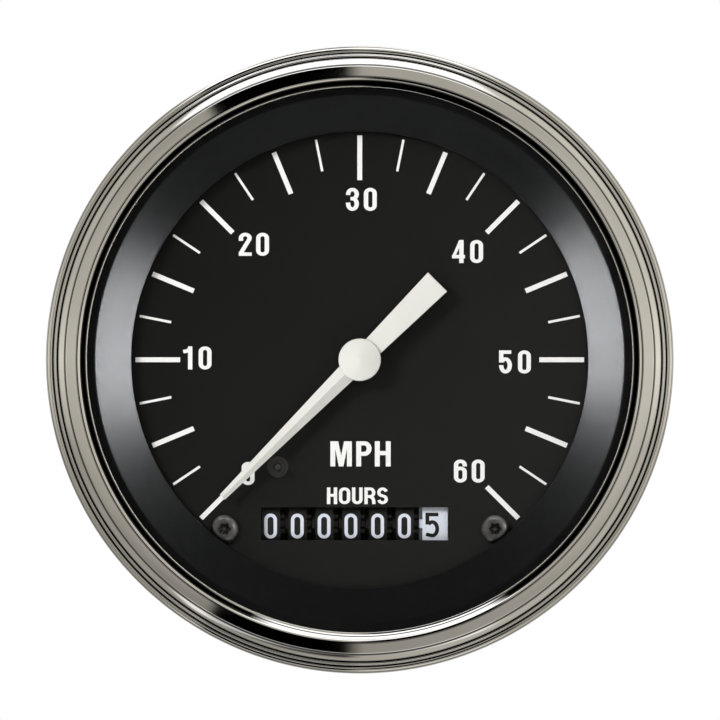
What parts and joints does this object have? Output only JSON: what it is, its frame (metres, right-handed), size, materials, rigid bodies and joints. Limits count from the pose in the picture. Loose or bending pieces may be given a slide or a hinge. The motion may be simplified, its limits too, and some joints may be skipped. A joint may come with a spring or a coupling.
{
  "type": "panel speedometer",
  "caption": "Round panel speedometer with a stepped chrome bezel, flat glass, white pointer on a black dial, number-drum hour counter and a rear clamp.",
  "frame": {"origin": "on the pointer's axis, in the plane where the bezel sits on the panel", "axes": "+Y along the pointer's axis, from the dial toward the rear; +Z to the top of the dial; +X to the right as the dial is read"},
  "size_m": [0.0944, 0.081, 0.0944],
  "materials": {
    "chrome": "bright chrome plate on stepped sheet",
    "clear_glass": "clear flat glass",
    "black_rubber": "matt",
    "satin_black": "satin black paint with a fine grain",
    "dial_black": "matt black",
    "white_print": "screen-printed white ink",
    "pointer_white": "warm white, fine satin",
    "screw_steel": "dull zinc plate",
    "bright_steel": "bright turned steel",
    "zinc_steel": "zinc-plated sheet",
    "brass": "turned brass",
    "magnet": "sintered, matt",
    "copper_wire": "enamelled copper wire",
    "natural_plastic": "moulded natural plastic",
    "drum_black": "matt black with white numbers",
    "drum_white": "matt white with black numbers",
    "red_plastic": "moulded red plastic",
    "board_green": "green resist on glass laminate",
    "dark_plastic": "moulded black plastic",
    "brown_resin": "moulded brown resin",
    "lamp_glass": "clear blown glass"
  },
  "bodies": {
    "instrument": {"bezel": "chrome", "glass": "clear_glass", "glass_gasket": "black_rubber", "trim_ring": "satin_black", "case": "zinc_steel", "dial_plate": "dial_black", "dial_marks": "white_print", "dial_screws": "screw_steel", "dial_posts": "brass", "stop_pin": "satin_black", "bobbin_front": "natural_plastic", "bobbin_rear": "natural_plastic", "sine_coil": "copper_wire", "cosine_coil": "copper_wire", "spindle_bushes": "brass", "screening_can": "zinc_steel", "coil_pins": "brass", "chassis_plate": "zinc_steel", "chassis_screws": "screw_steel", "counter_frame": "zinc_steel", "drum_shaft": "bright_steel", "pinion_shaft": "bright_steel", "idler_arbor": "bright_steel", "counter_motor": "zinc_steel", "motor_leads": "red_plastic", "circuit_board": "board_green", "board_parts": "dark_plastic", "board_standoffs": "brass", "button_switch": "dark_plastic", "terminal_block": "brown_resin", "terminal_bolts": "brass", "terminal_nuts": "brass", "mounting_studs": "bright_steel", "stud_nuts": "bright_steel", "lamp_sockets": "dark_plastic", "lamp_bulbs": "lamp_glass"},
    "pointer": {"pointer_blade": "pointer_white", "pointer_cap": "pointer_white", "pointer_bush": "brass", "spindle": "bright_steel", "rotor_magnet": "magnet"},
    "tenths_drum": {"drum_tenths": "drum_white"},
    "ones_drum": {"drum_ones": "drum_black"},
    "tens_drum": {"drum_tens": "drum_black"},
    "hundreds_drum": {"drum_hundreds": "drum_black"},
    "thousands_drum": {"drum_thousands": "drum_black"},
    "ten_thousands_drum": {"drum_ten_thousands": "drum_black"},
    "hundred_thousands_drum": {"drum_hundred_thousands": "drum_black"},
    "carry_1": {"carry_pinion_1": "natural_plastic"},
    "carry_2": {"carry_pinion_2": "natural_plastic"},
    "carry_3": {"carry_pinion_3": "natural_plastic"},
    "carry_4": {"carry_pinion_4": "natural_plastic"},
    "carry_5": {"carry_pinion_5": "natural_plastic"},
    "carry_6": {"carry_pinion_6": "natural_plastic"},
    "idler": {"idler_gear": "natural_plastic"},
    "motor_rotor": {"motor_pinion": "brass"},
    "button": {"calibration_button": "red_plastic"},
    "clamp": {"clamp_bracket": "zinc_steel", "clamp_washers": "bright_steel", "thumb_nuts": "brass"}
  },
  "joints": [
    {"name": "pointer_turn", "type": "hinge", "parent": "instrument", "child": "pointer", "pos_m": [0, 0, 0], "axis": [0, 1, 0], "range_deg": [-3.5, 270], "stiffness_Nm_per_rad": 0.0001},
    {"name": "tenths_turn", "type": "hinge", "parent": "instrument", "child": "tenths_drum", "pos_m": [0, 0.0132, -0.02475], "axis": [-1, 0, 0], "continuous": true},
    {"name": "ones_turn", "type": "hinge", "parent": "instrument", "child": "ones_drum", "pos_m": [0, 0.0132, -0.02475], "axis": [-1, 0, 0], "continuous": true},
    {"name": "tens_turn", "type": "hinge", "parent": "instrument", "child": "tens_drum", "pos_m": [0, 0.0132, -0.02475], "axis": [-1, 0, 0], "continuous": true},
    {"name": "hundreds_turn", "type": "hinge", "parent": "instrument", "child": "hundreds_drum", "pos_m": [0, 0.0132, -0.02475], "axis": [-1, 0, 0], "continuous": true},
    {"name": "thousands_turn", "type": "hinge", "parent": "instrument", "child": "thousands_drum", "pos_m": [0, 0.0132, -0.02475], "axis": [-1, 0, 0], "continuous": true},
    {"name": "ten_thousands_turn", "type": "hinge", "parent": "instrument", "child": "ten_thousands_drum", "pos_m": [0, 0.0132, -0.02475], "axis": [-1, 0, 0], "continuous": true},
    {"name": "hundred_thousands_turn", "type": "hinge", "parent": "instrument", "child": "hundred_thousands_drum", "pos_m": [0, 0.0132, -0.02475], "axis": [-1, 0, 0], "continuous": true},
    {"name": "carry_1_turn", "type": "hinge", "parent": "instrument", "child": "carry_1", "pos_m": [0, 0.0198, -0.03135], "axis": [-1, 0, 0], "continuous": true},
    {"name": "carry_2_turn", "type": "hinge", "parent": "instrument", "child": "carry_2", "pos_m": [0, 0.0198, -0.03135], "axis": [-1, 0, 0], "continuous": true},
    {"name": "carry_3_turn", "type": "hinge", "parent": "instrument", "child": "carry_3", "pos_m": [0, 0.0198, -0.03135], "axis": [-1, 0, 0], "continuous": true},
    {"name": "carry_4_turn", "type": "hinge", "parent": "instrument", "child": "carry_4", "pos_m": [0, 0.0198, -0.03135], "axis": [-1, 0, 0], "continuous": true},
    {"name": "carry_5_turn", "type": "hinge", "parent": "instrument", "child": "carry_5", "pos_m": [0, 0.0198, -0.03135], "axis": [-1, 0, 0], "continuous": true},
    {"name": "carry_6_turn", "type": "hinge", "parent": "instrument", "child": "carry_6", "pos_m": [0, 0.0198, -0.03135], "axis": [-1, 0, 0], "continuous": true},
    {"name": "idler_turn", "type": "hinge", "parent": "instrument", "child": "idler", "pos_m": [0, 0.0132, -0.01635], "axis": [-1, 0, 0], "continuous": true},
    {"name": "motor_turn", "type": "hinge", "parent": "instrument", "child": "motor_rotor", "pos_m": [0, 0.0132, -0.00795], "axis": [-1, 0, 0], "continuous": true},
    {"name": "button_push", "type": "slide", "parent": "instrument", "child": "button", "axis": [0, -1, 0], "range_m": [0, 0.0005], "stiffness_N_per_m": 400, "springref_m": -0.002},
    {"name": "clamp_slide", "type": "slide", "parent": "instrument", "child": "clamp", "axis": [0, 1, 0], "range_m": [0, 0.06]}
  ],
  "couplings": [
    {"joint": "ones_turn", "follows": "tenths_turn", "ratio": 0.1},
    {"joint": "tens_turn", "follows": "tenths_turn", "ratio": 0.01},
    {"joint": "hundreds_turn", "follows": "tenths_turn", "ratio": 0.001},
    {"joint": "thousands_turn", "follows": "tenths_turn", "ratio": 0.0001},
    {"joint": "ten_thousands_turn", "follows": "tenths_turn", "ratio": 0.00001},
    {"joint": "hundred_thousands_turn", "follows": "tenths_turn", "ratio": 0.000001},
    {"joint": "carry_1_turn", "follows": "tenths_turn", "ratio": -0.0000025},
    {"joint": "carry_2_turn", "follows": "tenths_turn", "ratio": -0.000025},
    {"joint": "carry_3_turn", "follows": "tenths_turn", "ratio": -0.00025},
    {"joint": "carry_4_turn", "follows": "tenths_turn", "ratio": -0.0025},
    {"joint": "carry_5_turn", "follows": "tenths_turn", "ratio": -0.025},
    {"joint": "carry_6_turn", "follows": "tenths_turn", "ratio": -0.25},
    {"joint": "idler_turn", "follows": "tenths_turn", "ratio": -2.5},
    {"joint": "motor_turn", "follows": "tenths_turn", "ratio": 6.25}
  ]
}
